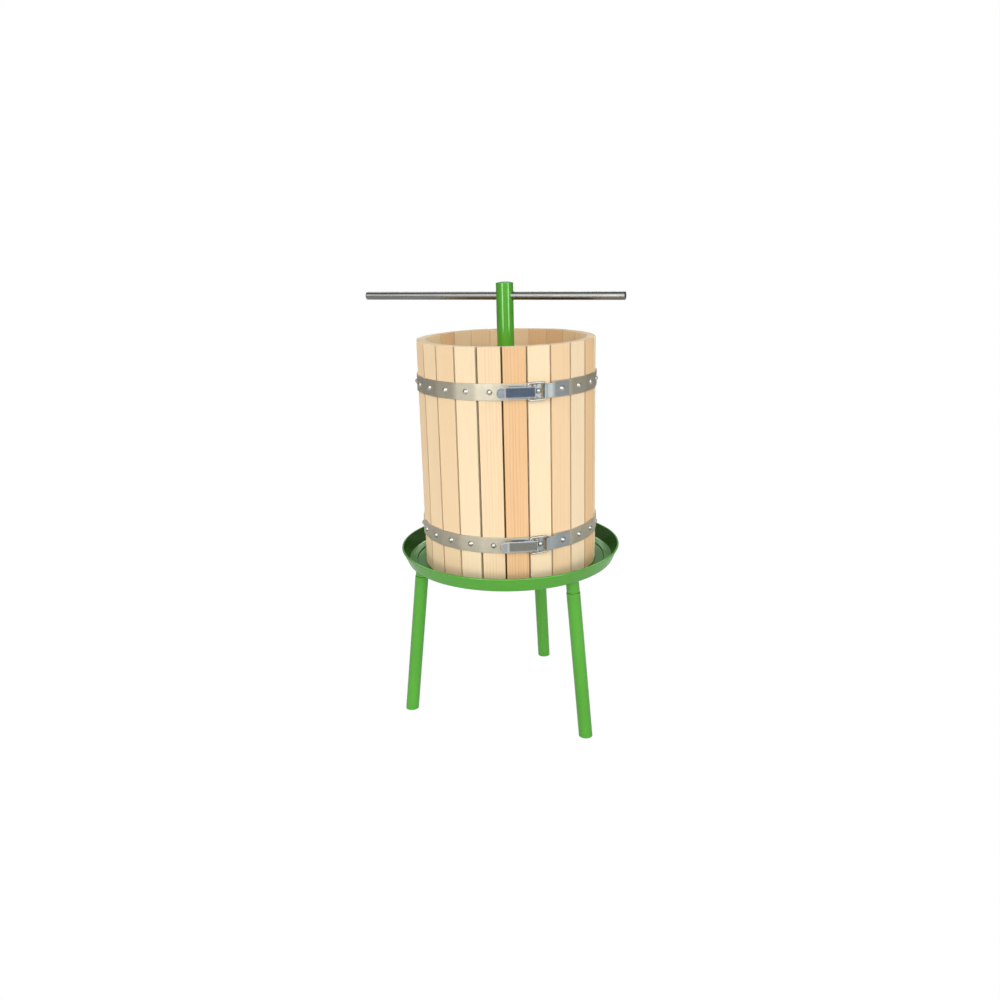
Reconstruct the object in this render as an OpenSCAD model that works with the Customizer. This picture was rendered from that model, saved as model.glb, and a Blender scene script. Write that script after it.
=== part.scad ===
// Hand grape press: stave basket in a round tray on three legs, pressed by a column that is
// screwed down a fixed spindle with a loose T-bar. All lengths are in millimetres.
// +Z is up, the origin lies on the floor under the spindle, and the latches face -Y.

/* [Basket] */
// Staves round the basket
stave_count = 24; // [22:1:24]
// Distance from the axis to the outer face of a stave
stave_face = 140.6; // [130:0.1:150]
// Thickness of a stave
stave_t = 14; // [10:0.5:18]
// Length of a stave
stave_h = 365; // [320:1:420]
// Slot between neighbouring staves, at their outer faces
stave_gap = 2.6; // [1.5:0.1:4]
// The same slot at the inner faces
slot_back = 0.8; // [0.3:0.1:1.4]
// Chamfer along the outer edges of a stave
stave_edge = 0.8; // [0.3:0.1:1.5]
// Turn of the first stave from the front, to the right
stave_turn = 4.67; // [0:0.01:14]

/* [Hoops] */
// Thickness of the hoop strap
hoop_t = 2; // [1:0.1:3]
// Width of the hoop strap
hoop_w = 25; // [22:0.5:30]
// Distance from each end of the staves to the middle of a hoop
hoop_inset = 65; // [50:1:90]
// Diameter of a rivet head
rivet_head_d = 9; // [7:0.1:9]
// Height of a rivet head
rivet_head_h = 3; // [2:0.1:3]
// Diameter of a rivet shank
rivet_d = 5; // [4:0.1:5.5]
// Diameter of a rivet tail, sunk in the inner face of its stave
rivet_tail_d = 8; // [6:0.1:9]
// Depth of a rivet tail
rivet_tail_h = 1.5; // [1:0.1:2.5]

/* [Latches] */
// Thickness of the latch sheet
latch_t = 1.5; // [1:0.1:2]
// Distance from the lever pivot to the tip of the lever
lever_len = 57; // [45:0.5:65]
// Width of the lever
lever_w = 16; // [14:0.5:18]
// Length of the lever's tilted finger tip
lever_tip = 13; // [8:0.5:16]
// Tilt of the finger tip
lever_tip_tilt = 14; // [5:1:20]
// Diameter of the lever's pivot pin
pivot_d = 3; // [2.5:0.1:3.2]
// Radius of the lever cheek round the pivot
cheek_r = 3; // [2.5:0.1:3.3]
// Distance from the pivot to the bail's holes in the lever
bail_arm = 10.3; // [9:0.1:11]
// Diameter of the bail wire
wire_d = 2.8; // [2.4:0.1:3]
// Distance from the bail's holes to its hooked bar
bail_len = 26.9; // [26:0.1:28]
// Height of the bail, measured between wire centres
bail_h = 25.2; // [24.5:0.1:27]
// Bend radius of the bail wire
bail_bend = 3; // [2.5:0.1:4]
// Height of the pivot above the face of the strap
pivot_rise = 4.9; // [4.8:0.1:5.4]
// Drop of the bail from its holes to its bar
bail_drop = 0.68; // [0.3:0.01:1]
// Distance from the middle of the base stave to the pivot
pivot_back = 9.4; // [8.5:0.1:10]
// Width of the latch base
base_w = 20; // [19:0.5:21]
// Width of the hook's tongue
hook_w = 19.5; // [17:0.5:20]
// Width of the hook's plate
hook_plate_w = 22; // [20:0.5:24]
// Room inside the hook
hook_room = 7.1; // [6.5:0.1:8]
// Length of the hook's lip past its bend
hook_lip = 6.6; // [5:0.1:7]
// Length of the hook plate on its stave, from the stave's middle
hook_reach = 13; // [9:0.5:16]

/* [Tray] */
// Height of the tray floor above the ground
tray_z = 264; // [230:1:320]
// Thickness of the tray sheet
tray_t = 2; // [1.5:0.1:3]
// Radius of the pressed recess that the basket stands in
recess_r = 156; // [152:0.5:160]
// Height of the ledge round the recess
ledge_h = 2.4; // [1:0.1:6]
// Inner radius of the tray wall at its foot
wall_foot_r = 169; // [165:0.5:171]
// Radius of the tray over its rolled rim
rim_r = 181; // [178:0.5:190]
// Height of the rolled rim's top above the tray floor
rim_h = 25; // [20:0.5:30]
// Diameter of the rolled rim
rim_d = 3.2; // [2.5:0.1:6]
// Width of the spout
spout_w = 40; // [30:1:50]
// Distance from the axis to the spout's lip
spout_reach = 236; // [215:1:260]
// Height of the spout's sides
spout_h = 16; // [12:0.5:18]
// Distance from the axis to the spout's inner end
spout_root = 150; // [148:0.5:151]

/* [Stand] */
// Outer diameter of a leg tube
leg_d = 22; // [20:0.1:26]
// Outer diameter of a leg socket above its leg
socket_d = 20.8; // [18.5:0.1:21.5]
// Outer diameter of the socket's plug inside the leg
plug_d = 17; // [14:0.1:17.5]
// Slit between a leg's top end and its socket
socket_slit = 1; // [0.5:0.1:3]
// Distance from the axis to the middle of a foot
foot_r = 178.7; // [165:0.1:190]
// Splay of the legs
leg_splay = 6.6; // [4:0.1:8]
// Turn of the first leg from +X
leg_turn = -49.8; // [-60:0.1:-30]
// Height of a leg's top end
leg_top = 240; // [200:1:245]
// Depth of a plug inside its leg
plug_depth = 50; // [30:1:80]
// Width of a brace arm under the tray
brace_w = 36; // [25:1:50]
// Thickness of the brace
brace_t = 4; // [3:0.5:6]
// Length of a brace arm from the axis
brace_reach = 132; // [110:1:134]
// Radius of the brace's hub
brace_hub_r = 55; // [40:1:70]

/* [Screw] */
// Diameter of the spindle
spindle_d = 20; // [18:0.5:22]
// Drop from the column's top to the spindle's top
spindle_drop = 82; // [80:1:120]
// Width of a spindle nut across its flats
nut_flats = 30; // [28:0.5:32]
// Thickness of a spindle nut
nut_h = 16; // [12:0.5:18]
// Diameter of a spindle washer
washer_d = 44; // [36:0.5:50]
// Thickness of a spindle washer
washer_t = 3; // [2:0.1:4]

/* [Column] */
// Outer diameter of the column tube
column_d = 27; // [25.5:0.1:30]
// Wall of the column tube
column_wall = 2.6; // [2:0.1:3]
// Height of the column's top above the staves
column_top = 85; // [71:1:111]
// Thickness of the column's cap
cap_t = 2.4; // [1.5:0.1:4]
// Height of the column nut's lower face
column_foot = 344; // [335:1:350]
// Diameter of the column nut
column_nut_d = 40; // [34:0.5:48]
// Height of the column nut
column_nut_h = 30; // [20:0.5:36]
// Diameter of the T-bar
bar_d = 13; // [10:0.1:14]
// Length of the T-bar
bar_len = 436; // [350:1:480]
// Drop from the column's top to the T-bar's middle
bar_drop = 21.5; // [14:0.5:24]
// Turn of the T-bar from +X
bar_turn = -21; // [-90:1:90]
// Shift of the T-bar along itself
bar_shift = -25.6; // [-120:0.1:120]
// Bevel of the T-bar's ends
bar_bevel = 1; // [0.5:0.1:2]

/* [Press board] */
// Radius of the press board
board_r = 123; // [118:0.5:124]
// Thickness of the press board
board_t = 22; // [18:0.5:26]
// Radius of the hole in the press board
board_hole_r = 20; // [19:0.5:24]
// Gap between the two halves of the press board
board_gap = 1; // [0.5:0.1:2]
// Radius of the thrust plate
thrust_r = 45; // [38:0.5:47]
// Thickness of the thrust plate
thrust_t = 6; // [4:0.5:8]
// Width of a batten
batten_w = 30; // [24:1:32]
// Height of a batten
batten_h = 18; // [14:0.5:20]
// Length of a batten
batten_len = 176; // [150:1:180]
// Distance from the axis to the middle of a batten
batten_y = 64; // [63:0.5:66]
// Diameter of a batten screw
screw_d = 4; // [3:0.1:5]
// Diameter of a batten screw's head
screw_head_d = 8; // [7:0.1:10]
// Length of a batten screw
screw_len = 32; // [28:0.5:34]

/* [Clearances] */
// Radial clearance of a pin or shaft that turns or slides in its hole
run_clear = 0.05; // [0.02:0.01:0.08]
// Radial clearance of a fastener or socket in its hole
fit_clear = 0.1; // [0.05:0.01:0.2]
// Room between pieces that turn past each other
turn_clear = 0.3; // [0.2:0.05:0.4]

/* [Hidden] */
$fn = 72;
FULL_TURN = 360;
LEGS = 3;
SIDES = [-1, 1];
HOOP_NAMES = ["lower", "upper"];
STAVE_NAMES = [for (i = [0:stave_count - 1]) str("stave_", i < 9 ? "0" : "", i + 1)];
LEG_NAMES = ["front_leg", "rear_leg", "left_leg"];
SOCKET_NAMES = ["front_leg_socket", "rear_leg_socket", "left_leg_socket"];
LATCH_PARTS = ["latch_base", "latch_pin", "latch_lever", "latch_bail", "latch_hook"];

GREEN = [0.34, 0.66, 0.24];
PINE = [0.93, 0.80, 0.60];
ZINC = [0.70, 0.68, 0.62];
STEEL = [0.80, 0.81, 0.82];
EPS = 0.01;
BIG = 1000;

// Staves stand on flats of a regular polygon, and pitch is the angle from one flat to the next.
pitch = FULL_TURN / stave_count;
stave_back = stave_face - stave_t;
strap_face = stave_face + hoop_t;
latch_face = strap_face + latch_t;
HOOP_Z = [tray_z + hoop_inset, tray_z + stave_h - hoop_inset];

// The latch spans three staves: the lever lies over LEVER_STAVE, the base ends on BASE_STAVE and
// the hook is riveted to HOOK_STAVE, so the hoops part between the last two.
LEVER_STAVE = 0;
BASE_STAVE = 1;
HOOK_STAVE = 2;
base_rivet_back = 2.65;
base_end = 3;
base_start = 9;
split_gap = 0.4;

// Latch points, measured along and out from the flat of BASE_STAVE.
pivot = [-pivot_back, strap_face + pivot_rise];
bail_pin = pivot - [bail_arm, 0];
bail_bar = bail_pin + [sqrt(bail_len * bail_len - bail_drop * bail_drop), -bail_drop];
hook_in_r = hook_room / 2;
hook_out_r = hook_in_r + latch_t;
hook_mid = latch_face + hook_in_r;
hook_seat = hook_in_r - wire_d / 2 - turn_clear;
hook_bend = bail_bar[0] + sqrt(hook_seat * hook_seat - pow(bail_bar[1] - hook_mid, 2));
// Lever plate, measured out from the pivot when the lever lies along LEVER_STAVE.
lever_bail = [-bail_arm * cos(pitch), bail_arm * sin(pitch)];
lever_in = lever_bail[1] + wire_d / 2 + turn_clear;
ear_in = lever_w / 2 + turn_clear;

// Tray levels and radii.
ledge_z = tray_z + ledge_h;
rim_top = tray_z + rim_h;
rim_mid = [rim_r - rim_d / 2, rim_top - rim_d / 2];
floor_under = tray_z - tray_t;
brace_under = floor_under - brace_t;

// Press stack, from the column down.
column_end = tray_z + stave_h + column_top;
thrust_top = column_foot - turn_clear;
board_top = thrust_top - thrust_t;
board_foot = board_top - board_t;
batten_top = board_top + batten_h;
tube_foot = column_foot + column_nut_h;
column_bore_r = column_d / 2 - column_wall;
bar_z = column_end - bar_drop;
spindle_top = column_end - spindle_drop;

function stave_angle(i) = stave_turn + i * pitch;
// Distance from the axis, at the given angle, of a polygon whose flats lie at the given distance.
function flat_r(face, angle) =
    let (i = round((angle - stave_turn) / pitch)) face / cos(angle - stave_angle(i));
// Point at a distance and an angle from the front, as drawn in plan.
function polar(r, angle) = [r * sin(angle), -r * cos(angle)];
// Angle from the front of a point that is given along and out from a stave's flat.
function flat_angle(i, along, out) = stave_angle(i) + atan2(along, out);
// Angles from one end of a strap to the other, with a corner between each two staves.
function strap_angles(from, to) = concat([from],
    [for (i = [-stave_count:2 * stave_count])
        let (a = stave_angle(i) + pitch / 2) if (a > from && a < to) a],
    [to]);

module at_stave(i) { rotate([0, 0, stave_angle(i)]) children(); }

// Plan of a strap that follows the flats of the staves.
module strap_plan(face, thick, from, to) {
    angles = strap_angles(from, to);
    polygon(concat(
        [for (a = angles) polar(flat_r(face + thick, a), a)],
        [for (k = [len(angles) - 1:-1:0]) polar(flat_r(face, angles[k]), angles[k])]));
}

module strap(face, thick, width, from, to) {
    translate([0, 0, -width / 2]) linear_extrude(width) strap_plan(face, thick, from, to);
}

// Rivets: where each one sits along its stave, and the face that its head rests on.
function rivet_along(i) = i == BASE_STAVE ? -base_rivet_back : 0;
function rivet_seat(i) = i == LEVER_STAVE || i == BASE_STAVE || i == HOOK_STAVE ? latch_face : strap_face;

module rivet_frame(i) {
    at_stave(i) translate([rivet_along(i), 0, 0]) rotate([90, 0, 0]) children();
}

module rivet(seat) {
    dome_r = (rivet_head_d * rivet_head_d / 4 + rivet_head_h * rivet_head_h) / (2 * rivet_head_h);
    rotate_extrude() {
        intersection() {
            translate([0, seat + rivet_head_h - dome_r]) circle(dome_r);
            translate([0, seat]) square([rivet_head_d / 2, rivet_head_h]);
        }
        translate([0, stave_back]) square([rivet_d / 2, seat - stave_back]);
        translate([0, stave_back]) square([rivet_tail_d / 2, rivet_tail_h]);
    }
}

// Holes start at the face of the staves, so that those of opposite staves stay apart.
module rivet_holes(which) {
    for (i = which) rivet_frame(i) translate([0, 0, stave_face - 1])
        cylinder(h = hoop_t + latch_t + 2, r = rivet_d / 2 + fit_clear);
}

// Tray: recess, ledge, leaning wall and rolled rim turned from one section, cut open for the spout.
module tray() {
    color(GREEN) difference() {
        rotate_extrude() {
            polygon([
                [spindle_d / 2 + fit_clear, floor_under], [recess_r + tray_t, floor_under],
                [recess_r + tray_t, ledge_z - tray_t], [wall_foot_r + tray_t / 2, ledge_z - tray_t],
                [wall_foot_r + tray_t, ledge_z], [rim_mid[0] + tray_t / 2, rim_mid[1]],
                [rim_mid[0] - tray_t / 2, rim_mid[1]], [wall_foot_r, ledge_z],
                [recess_r, ledge_z], [recess_r, tray_z], [spindle_d / 2 + fit_clear, tray_z]]);
            translate(rim_mid) circle(rim_d / 2);
        }
        translate([-spout_w / 2, spout_root, floor_under - 1])
            cube([spout_w, BIG, spout_h + 1]);
    }
}

// Spout: open trough let into the tray wall at floor level, with its sides cut on a slant at the lip.
module spout() {
    color(GREEN) difference() {
        translate([-spout_w / 2, spout_root, floor_under])
            cube([spout_w, spout_reach - spout_root, spout_h]);
        translate([-spout_w / 2 + tray_t, spout_root - 1, tray_z]) cube([spout_w - 2 * tray_t, BIG, BIG]);
        translate([0, 0, tray_z]) cylinder(h = BIG, r = recess_r);
        translate([-BIG / 2, spout_reach, tray_z]) rotate([45, 0, 0]) cube(BIG);
    }
}

// Brace: three flat arms from the spindle out to the leg sockets, welded under the floor.
module tray_brace() {
    color(GREEN) translate([0, 0, brace_under]) linear_extrude(brace_t) difference() {
        union() {
            circle(brace_hub_r);
            for (k = [0:LEGS - 1]) rotate(leg_turn + k * FULL_TURN / LEGS) {
                translate([0, -brace_w / 2]) square([brace_reach - brace_w / 2, brace_w]);
                translate([brace_reach - brace_w / 2, 0]) circle(d = brace_w);
            }
        }
        circle(spindle_d / 2 + fit_clear);
    }
}

// Frame of a leg: Z runs up the leg's axis from the middle of its foot.
module leg_frame(k) {
    rotate([0, 0, leg_turn + k * FULL_TURN / LEGS])
        translate([foot_r, 0, 0]) rotate([0, -leg_splay, 0]) children();
}

// Leg socket: stub under the tray with a plug that the leg is pushed onto.
module leg_socket(k) {
    color(GREEN) difference() {
        leg_frame(k) {
            translate([0, 0, (leg_top - plug_depth) / cos(leg_splay)]) cylinder(h = BIG / 4, d = plug_d);
            translate([0, 0, leg_top / cos(leg_splay) + socket_slit]) cylinder(h = BIG / 4, d = socket_d);
        }
        translate([-BIG / 2, -BIG / 2, floor_under]) cube(BIG);
    }
}

module leg(k) {
    color(GREEN) difference() {
        leg_frame(k) difference() {
            translate([0, 0, -leg_d]) cylinder(h = leg_top / cos(leg_splay) + leg_d, d = leg_d);
            translate([0, 0, -BIG / 2]) cylinder(h = BIG, r = plug_d / 2 + fit_clear);
        }
        translate([-BIG / 2, -BIG / 2, -BIG]) cube(BIG);
    }
}

// Spindle: fixed screw, drawn at its outside diameter, with a bevelled top.
module spindle() {
    foot = brace_under - washer_t - nut_h - spindle_d / 4;
    bevel = spindle_d / 10;
    color(STEEL) rotate_extrude() polygon([
        [0, foot], [spindle_d / 2, foot], [spindle_d / 2, spindle_top - bevel],
        [spindle_d / 2 - bevel, spindle_top], [0, spindle_top]]);
}

module spindle_nuts() {
    color(ZINC) for (z = [tray_z + washer_t, brace_under - washer_t - nut_h])
        translate([0, 0, z]) difference() {
            cylinder(h = nut_h, d = nut_flats / cos(30), $fn = 6);
            translate([0, 0, -1]) cylinder(h = nut_h + 2, r = spindle_d / 2 + fit_clear);
        }
}

module spindle_washers() {
    color(ZINC) for (z = [tray_z, brace_under - washer_t])
        translate([0, 0, z]) difference() {
            cylinder(h = washer_t, d = washer_d);
            translate([0, 0, -1]) cylinder(h = washer_t + 2, r = spindle_d / 2 + fit_clear);
        }
}

// Stave: flat slat, the slot to the next one narrowing inwards, drilled for its rivets.
module stave(i) {
    outer = stave_face * tan(pitch / 2) - stave_gap / 2 / cos(pitch / 2);
    inner = stave_back * tan(pitch / 2) - slot_back / 2 / cos(pitch / 2);
    ease = stave_edge * (outer - inner) / stave_t;
    color(PINE) difference() {
        at_stave(i) translate([0, 0, tray_z]) linear_extrude(stave_h) polygon([
            [stave_edge - outer, -stave_face], [outer - stave_edge, -stave_face],
            [outer - ease, stave_edge - stave_face], [inner, -stave_back],
            [-inner, -stave_back], [ease - outer, stave_edge - stave_face]]);
        for (z = HOOP_Z) translate([0, 0, z]) rivet_frame(i) {
            cylinder(h = BIG, r = rivet_d / 2 + fit_clear);
            cylinder(h = stave_back + rivet_tail_h + EPS, r = rivet_tail_d / 2 + fit_clear);
        }
    }
}

// Hoop: one strap bent to a flat on each stave, open under the hook.
module hoop(k) {
    from = stave_angle(BASE_STAVE) + pitch / 2 + split_gap;
    to = flat_angle(BASE_STAVE, base_end, strap_face) + FULL_TURN;
    color(ZINC) translate([0, 0, HOOP_Z[k]]) difference() {
        strap(stave_face, hoop_t, hoop_w, from, to);
        rivet_holes([0:stave_count - 1]);
    }
}

module hoop_rivets(k) {
    color(ZINC) translate([0, 0, HOOP_Z[k]])
        for (i = [0:stave_count - 1]) rivet_frame(i) rivet(rivet_seat(i));
}

// Latch base: plate over two staves with two ears that carry the lever's pivot.
module latch_base(k) {
    from = flat_angle(LEVER_STAVE, -base_start, strap_face);
    to = flat_angle(BASE_STAVE, base_end, strap_face);
    ear_r = cheek_r + 1;
    color(ZINC) translate([0, 0, HOOP_Z[k]]) difference() {
        union() {
            strap(strap_face, latch_t, base_w, from, to);
            for (side = SIDES) at_stave(BASE_STAVE)
                translate([pivot[0], 0, side * (ear_in + latch_t / 2) - latch_t / 2])
                    linear_extrude(latch_t) {
                        translate([0, -pivot[1]]) circle(ear_r);
                        translate([-ear_r, -pivot[1]])
                            square([2 * ear_r, pivot[1] - strap_face - latch_t / 2]);
                    }
        }
        rivet_holes([LEVER_STAVE, BASE_STAVE]);
        at_stave(BASE_STAVE) translate([pivot[0], -pivot[1], -base_w])
            cylinder(h = 2 * base_w, r = pivot_d / 2 + run_clear);
    }
}

module latch_pin(k) {
    grip = ear_in + latch_t;
    head_t = 0.6;
    head_r = pivot_d * 0.75;
    color(STEEL) translate([0, 0, HOOP_Z[k]]) at_stave(BASE_STAVE)
        translate([pivot[0], -pivot[1], 0]) {
            translate([0, 0, -grip]) cylinder(h = 2 * grip, d = pivot_d);
            for (side = SIDES) translate([0, 0, side * (grip + head_t / 2) - head_t / 2])
                cylinder(h = head_t, r = head_r);
        }
}

// Lever: pressed channel, drawn with the pivot at its origin and its tip towards -X.
module lever_plan() {
    tip_foot = lever_len - lever_tip;
    translate([-tip_foot, -lever_in - latch_t]) square([tip_foot - 1, latch_t]);
    translate([-tip_foot, -lever_in - latch_t]) rotate(lever_tip_tilt)
        translate([-lever_tip, 0]) square([lever_tip + latch_t / 4, latch_t]);
}

module lever_cheek_plan() {
    fade = 2.2 * bail_arm;
    pad_r = wire_d / 2 + latch_t * 0.8;
    circle(cheek_r);
    translate([lever_bail[0], -lever_bail[1]]) circle(pad_r);
    polygon([
        [0, cheek_r], [lever_bail[0], pad_r - lever_bail[1]], [-fade, -lever_in],
        [-fade, -lever_in - latch_t], [cheek_r / 2, -lever_in - latch_t], [cheek_r, 0]]);
}

module latch_lever(k) {
    corner = 0.47 * lever_w;
    color(ZINC) translate([0, 0, HOOP_Z[k]]) at_stave(BASE_STAVE) translate([pivot[0], -pivot[1], 0])
        rotate([0, 0, -pitch]) difference() {
            union() {
                translate([0, 0, -lever_w / 2]) linear_extrude(lever_w) lever_plan();
                for (side = SIDES) translate([0, 0, side * (lever_w - latch_t) / 2 - latch_t / 2])
                    linear_extrude(latch_t) lever_cheek_plan();
            }
            translate([0, 0, -lever_w]) cylinder(h = 2 * lever_w, r = pivot_d / 2 + run_clear);
            translate([lever_bail[0], -lever_bail[1], -lever_w])
                cylinder(h = 2 * lever_w, r = wire_d / 2 + run_clear);
            for (side = SIDES) translate([-lever_len + corner, BIG / 2, side * (lever_w / 2 - corner)])
                rotate([90, 0, 0]) difference() {
                    translate([-2 * corner, side > 0 ? 0 : -2 * corner, 0])
                        cube([2 * corner, 2 * corner, BIG]);
                    cylinder(h = BIG, r = corner);
                }
        }
}

// Bail: wire loop drawn with its holes' axis along Z at its origin and its bar towards +X.
module bail_half() {
    end = lever_w / 2 - latch_t - 0.7;
    reach = bail_h / 2;
    translate([0, 0, end]) cylinder(h = reach - bail_bend - end, d = wire_d);
    bail_elbow([bail_bend, reach - bail_bend], 90);
    translate([bail_bend, 0, reach]) rotate([0, 90, 0]) cylinder(h = bail_len - 2 * bail_bend, d = wire_d);
    bail_elbow([bail_len - bail_bend, reach - bail_bend], 0);
    translate([bail_len, 0, 0]) cylinder(h = reach - bail_bend, d = wire_d);
}

module bail_elbow(centre, from) {
    translate([centre[0], 0, centre[1]]) rotate([90, 0, 0])
        rotate([0, 0, from]) rotate_extrude(angle = 90) translate([bail_bend, 0]) circle(d = wire_d);
}

module latch_bail(k) {
    color(STEEL) translate([0, 0, HOOP_Z[k]]) at_stave(BASE_STAVE)
        translate([bail_pin[0], -bail_pin[1], 0]) rotate([0, 0, asin(bail_drop / bail_len)]) {
            bail_half();
            mirror([0, 0, 1]) bail_half();
        }
}

// Hook: plate riveted beside the split, with a tongue that is bent back over the bail's bar.
module latch_hook(k) {
    tongue_end = stave_angle(BASE_STAVE) + pitch / 2;
    plate_end = flat_angle(HOOK_STAVE, hook_reach, strap_face);
    bend_angle = flat_angle(BASE_STAVE, hook_bend, strap_face);
    color(ZINC) translate([0, 0, HOOP_Z[k]]) difference() {
        union() {
            strap(strap_face, latch_t, hook_w, bend_angle, tongue_end + split_gap);
            strap(strap_face, latch_t, hook_plate_w, tongue_end + split_gap, plate_end);
            at_stave(BASE_STAVE) translate([hook_bend, -hook_mid, -hook_w / 2]) linear_extrude(hook_w) {
                difference() {
                    circle(hook_out_r);
                    circle(hook_in_r);
                    translate([0, -BIG / 2]) square(BIG);
                }
                translate([0, -hook_out_r]) square([hook_lip, latch_t]);
                translate([0, hook_in_r]) square([latch_t, latch_t]);
            }
        }
        rivet_holes([HOOK_STAVE]);
    }
}

// Press board: half of a round board, with room for the spindle nut in the middle.
module press_board(side) {
    color(PINE) difference() {
        translate([0, 0, board_foot]) cylinder(h = board_t, r = board_r);
        translate([0, 0, board_foot - 1]) cylinder(h = board_t + 2, r = board_hole_r);
        translate([side > 0 ? board_gap / 2 - BIG : -board_gap / 2, -BIG / 2, 0]) cube(BIG);
        batten_screw_shapes(fit_clear);
    }
}

module press_batten(side) {
    color(PINE) difference() {
        translate([-batten_len / 2, side * batten_y - batten_w / 2, board_top])
            cube([batten_len, batten_w, batten_h]);
        batten_screw_shapes(fit_clear);
    }
}

module batten_screw_shapes(slack) {
    for (x = [-0.42, -0.2, 0.2, 0.42]) for (side = SIDES)
        translate([x * batten_len, side * batten_y, batten_top]) batten_screw(slack);
}

module batten_screw(slack) {
    head_r = screw_head_d / 2 + slack;
    shank_r = screw_d / 2 + slack;
    rotate_extrude() polygon([
        [0, 0], [head_r, 0], [shank_r, shank_r - head_r],
        [shank_r, -screw_len - slack], [0, -screw_len - slack]]);
}

module press_batten_screws() { color(STEEL) batten_screw_shapes(0); }

module thrust_plate() {
    color(GREEN) translate([0, 0, board_top]) difference() {
        cylinder(h = thrust_t, r = thrust_r);
        translate([0, 0, -1]) cylinder(h = thrust_t + 2, r = spindle_d / 2 + 1);
    }
}

// Column nut: turned nut that runs on the spindle and carries the tube.
module column_nut() {
    bevel = 2;
    bore_r = spindle_d / 2 + run_clear;
    outer_r = column_nut_d / 2;
    color(GREEN) rotate_extrude() polygon([
        [bore_r, column_foot], [outer_r - bevel, column_foot], [outer_r, column_foot + bevel],
        [outer_r, tube_foot - bevel], [outer_r - bevel, tube_foot], [bore_r, tube_foot]]);
}

module bar_frame() {
    translate([0, 0, bar_z]) rotate([0, 0, bar_turn]) rotate([0, 90, 0]) children();
}

module column_tube() {
    color(GREEN) difference() {
        translate([0, 0, tube_foot]) cylinder(h = column_end - cap_t - tube_foot, d = column_d);
        translate([0, 0, tube_foot - 1]) cylinder(h = BIG, r = column_bore_r);
        bar_frame() translate([0, 0, -column_d]) cylinder(h = 2 * column_d, r = bar_d / 2 + run_clear);
    }
}

// Column cap: welded disc with a low dome.
module column_cap() {
    cap_r = column_d / 2;
    rise = 0.7 * cap_t;
    dome_r = (cap_r * cap_r + rise * rise) / (2 * rise);
    color(GREEN) rotate_extrude() intersection() {
        translate([0, column_end - dome_r]) circle(dome_r, $fn = 10 * $fn);
        translate([0, column_end - cap_t]) square([cap_r, cap_t]);
    }
}

module tommy_bar() {
    half = bar_len / 2;
    r = bar_d / 2;
    color(STEEL) bar_frame() translate([0, 0, bar_shift]) rotate_extrude() polygon([
        [0, -half], [r - bar_bevel, -half], [r, -half + bar_bevel],
        [r, half - bar_bevel], [r - bar_bevel, half], [0, half]]);
}

tray();
spout();
tray_brace();
for (k = [0:LEGS - 1]) {
    leg_socket(k);
    leg(k);
}
spindle();
spindle_nuts();
spindle_washers();
for (i = [0:stave_count - 1]) {
    stave(i);
}
for (k = [0:len(HOOP_NAMES) - 1]) {
    hoop(k);
    hoop_rivets(k);
    latch_base(k);
    latch_pin(k);
    latch_lever(k);
    latch_bail(k);
    latch_hook(k);
}
press_board(-1);  // press_board_left
press_board(1);  // press_board_right
press_batten(-1);  // press_batten_front
press_batten(1);  // press_batten_rear
press_batten_screws();
thrust_plate();
column_nut();
column_tube();
column_cap();
tommy_bar();
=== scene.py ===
# %% [markdown]
# # A hand grape press
# A slatted basket stands in a round green tray on three legs. A column is screwed down a fixed
# spindle with a loose T-bar, and pushes a split wooden board down on the fruit. Two steel hoops hold
# the staves, and each hoop closes with a toggle latch.
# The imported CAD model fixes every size. This lesson dresses it: sharp solids become pieces with
# softened edges, and each surface gets a finish of its own. All lengths here are in metres.

import math
import random

import bmesh
import bpy
from mathutils import Matrix, Vector


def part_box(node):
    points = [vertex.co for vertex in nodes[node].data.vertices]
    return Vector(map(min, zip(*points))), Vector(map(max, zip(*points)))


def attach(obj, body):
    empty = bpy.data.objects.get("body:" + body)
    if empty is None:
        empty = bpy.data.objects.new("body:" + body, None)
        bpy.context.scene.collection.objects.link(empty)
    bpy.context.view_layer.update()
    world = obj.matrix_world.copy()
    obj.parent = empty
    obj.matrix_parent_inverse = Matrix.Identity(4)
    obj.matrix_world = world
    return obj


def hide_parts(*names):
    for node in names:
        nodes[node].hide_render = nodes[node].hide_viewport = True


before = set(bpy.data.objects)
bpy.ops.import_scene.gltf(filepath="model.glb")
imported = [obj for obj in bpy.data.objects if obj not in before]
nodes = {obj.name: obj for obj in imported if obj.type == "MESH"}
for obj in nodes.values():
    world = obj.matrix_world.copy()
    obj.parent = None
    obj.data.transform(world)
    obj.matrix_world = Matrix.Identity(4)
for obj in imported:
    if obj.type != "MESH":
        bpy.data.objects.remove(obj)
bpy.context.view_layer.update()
MM = 0.001

# %% [markdown]
# ## Shader sums in plain Python
# A material is a graph of nodes, and wiring it by hand hides what it works out. One small class wraps
# a socket and overloads the operators, so that `1 - mask` adds a Math node by itself. A second class
# holds a material. Its method node adds any other node, and its other methods are short names for
# what comes back often.

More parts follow.
